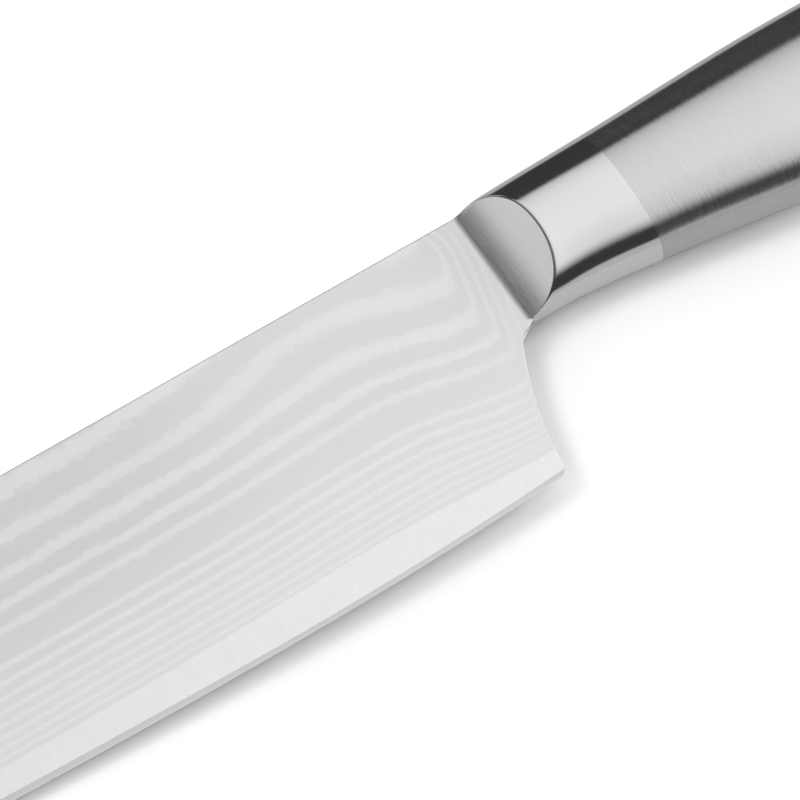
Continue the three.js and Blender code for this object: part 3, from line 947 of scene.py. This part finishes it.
class CLEAVER_OT_core(bpy.types.Operator):
    """Make the hard centre layer, with its bare strip, bevel and edge"""

    bl_idname = "cleaver.make_core"
    bl_label = "Core steel"

    def execute(self, context):
        settings = context.scene.cleaver
        sizes = settings.blade
        form = blade_form(settings)
        weld = [1 + sizes.weld_line / form.core_depth, 1.02, 1.05]
        strip, bevel = np.linspace(1, 2, 12)[1:], [2.35, 2.7, 2.9, 3.0]
        levels = np.concatenate([np.linspace(0, 1, 24), weld, strip, bevel])
        x, y, gap = blade_grid(form, levels)
        level = np.broadcast_to(levels[:, None], x.shape)
        hidden = sizes.core_thickness / 2 + 0.4 * sizes.weld_line
        bare = form.half(np.minimum(form.rise - y, form.shoulder(x))) * (1 - np.clip(level - 2, 0, 1))
        z = np.where(level <= 1, hidden, bare)
        z = z - np.minimum(eased(gap, sizes.rim_ease), 0.6 * z)
        add_piece(
            "core_steel_ground", slab(stacked(x, y, z), stacked(x, y, -z)),
            ["core_steel"], [shared(ground_steel, settings.finish)], sharp=6,
            values={"level": twice(level)},
        )
        return {"FINISHED"}


class CLEAVER_OT_cladding(bpy.types.Operator):
    """Make the layered outer steel of both sides"""

    bl_idname = "cleaver.make_cladding"
    bl_label = "Layered cladding"

    def execute(self, context):
        settings = context.scene.cleaver
        sizes = settings.blade
        form = blade_form(settings)
        depths = np.concatenate([spine_rows(sizes.ease), np.linspace(2.4 * MM, form.core_depth, 56)])
        x, y, gap = blade_grid(form, depths / form.core_depth)
        depth = form.rise - y
        bed = sizes.core_thickness / 2 + sizes.weld_line
        skin = form.half(depth) - eased(depth, sizes.ease)
        skin = skin - np.minimum(eased(gap, sizes.rim_ease), 0.8 * (skin - bed))
        pale, etch = etch_tone(form, x, y)
        layers = layer_count(form, sizes, x, y, gap)
        for side, name in ((1, "right_cladding"), (-1, "left_cladding")):
            add_piece(
                name + "_layers", slab(stacked(x, y, side * skin), stacked(x, y, side * bed)),
                [name], [shared(layered_steel, settings.finish)], sharp=20,
                values={"layers": twice(layers), "pale": twice(pale), "etch": twice(etch)},
            )
        return {"FINISHED"}


class CLEAVER_OT_bolster(bpy.types.Operator):
    """Make the bolster: two brushed hollow ramps that run up to a polished oval barrel"""

    bl_idname = "cleaver.make_bolster"
    bl_label = "Bolster"

    def execute(self, context):
        settings = context.scene.cleaver
        rows, ramp_rows = bolster_surface(settings)
        nose = rows[0] * np.array([1, 1, 0])
        form = tube([nose, *rows, closing(rows[-1])])
        finish_of = np.ones(len(rows) + 1, int)
        finish_of[: ramp_rows + 1] = 0
        add_piece(
            "bolster_barrel", form, ["bolster"],
            [shared(ramp_steel, settings.finish), shared(barrel_polish, settings.finish)], sharp=40,
            finish_of=np.repeat(finish_of, len(nose)),
        )
        return {"FINISHED"}


class CLEAVER_OT_shells(bpy.types.Operator):
    """Make the two half shells of the satin handle"""

    bl_idname = "cleaver.make_shells"
    bl_label = "Handle shells"

    def execute(self, context):
        settings = context.scene.cleaver
        sizes = settings.handle
        grip = handle_form(settings)
        x = np.linspace(settings.bolster.collar_at, sizes.length, 140)[:, None]
        turn = round_turns(121, whole=False)
        along, turns = (twice(field) for field in np.broadcast_arrays(x, turn))
        for side, name in ((1, "right_handle_shell"), (-1, "left_handle_shell")):
            outer = grip.skin(x, side * turn)
            inner = grip.skin(x, side * turn, inset=sizes.shell_wall)
            add_satin(name + "_satin", slab(outer, inner), name, along, turns, settings.finish)
        return {"FINISHED"}


class CLEAVER_OT_cap(bpy.types.Operator):
    """Make the domed cap at the butt"""

    bl_idname = "cleaver.make_cap"
    bl_label = "Butt cap"

    def execute(self, context):
        settings = context.scene.cleaver
        sizes = settings.handle
        grip = handle_form(settings)
        turns = round_turns(200)
        power = 2 / sizes.cap_power
        neck, neck_end = sizes.shell_wall + 0.1 * MM, sizes.length - 0.02 * MM
        rows = []
        for place in (sizes.length - sizes.cap_spigot, neck_end):
            rows.append(grip.skin(sizes.length, turns, inset=neck, at=place))
        for lean in np.linspace(0, np.pi / 2, 40):
            place = sizes.length + sizes.cap_dome * math.sin(lean) ** power
            shrink = max(math.cos(lean), 0) ** power
            rows.append(grip.skin(sizes.length, turns, shrink=shrink, at=place))
        form = tube([closing(rows[0]), *rows])
        ways = np.linspace(sizes.length, sizes.length + sizes.cap_dome, len(rows) + 1)
        along, all_turns = (field.ravel() for field in np.broadcast_arrays(ways[:, None], turns))
        add_satin("butt_cap_dome", form, "butt_cap", along, all_turns, settings.finish)
        return {"FINISHED"}


class CLEAVER_OT_hidden(bpy.types.Operator):
    """Give the bar and the filler inside the handle their finishes"""

    bl_idname = "cleaver.finish_hidden"
    bl_label = "Tang and filler"

    def execute(self, context):
        finish = context.scene.cleaver.finish
        for name, paint in (("tang_bar", rolled_steel), ("handle_filler", cast_filler)):
            node = frame["nodes"][name]
            node.data.materials.clear()
            node.data.materials.append(shared(paint, finish))
        return {"FINISHED"}


class CLEAVER_OT_stage(bpy.types.Operator):
    """Make the pale floor, the studio light and the camera"""

    bl_idname = "cleaver.make_stage"
    bl_label = "Stage"

    def execute(self, context):
        settings = context.scene.cleaver.stage
        make_floor(settings)
        make_light(context.scene, settings)
        make_camera(context.scene, settings)
        context.scene.view_settings.view_transform = "Standard"
        return {"FINISHED"}


MAKERS = (
    CLEAVER_OT_core, CLEAVER_OT_cladding, CLEAVER_OT_bolster, CLEAVER_OT_shells,
    CLEAVER_OT_cap, CLEAVER_OT_hidden, CLEAVER_OT_stage,
)


class CLEAVER_PT_panel(bpy.types.Panel):
    """Lists the makers of the cleaver"""

    bl_label = "Vegetable Cleaver"
    bl_space_type = "VIEW_3D"
    bl_region_type = "UI"
    bl_category = "Cleaver"

    def draw(self, context):
        for maker in MAKERS:
            self.layout.operator(maker.bl_idname)


GROUPS = (BladeSizes, BolsterSizes, HandleSizes, Finishes, StageSettings, CleaverSettings)
CLASSES = GROUPS + MAKERS + (CLEAVER_PT_panel,)


def register():
    for each in CLASSES:
        bpy.utils.register_class(each)
    bpy.types.Scene.cleaver = PointerProperty(type=CleaverSettings)


def unregister():
    del bpy.types.Scene.cleaver
    for each in reversed(CLASSES):
        bpy.utils.unregister_class(each)


def main():
    register()
    bpy.ops.cleaver.make_core()
    bpy.ops.cleaver.make_cladding()
    bpy.ops.cleaver.make_bolster()
    bpy.ops.cleaver.make_shells()
    bpy.ops.cleaver.make_cap()
    bpy.ops.cleaver.finish_hidden()
    bpy.ops.cleaver.make_stage()


if __name__ == "__main__":
    main()
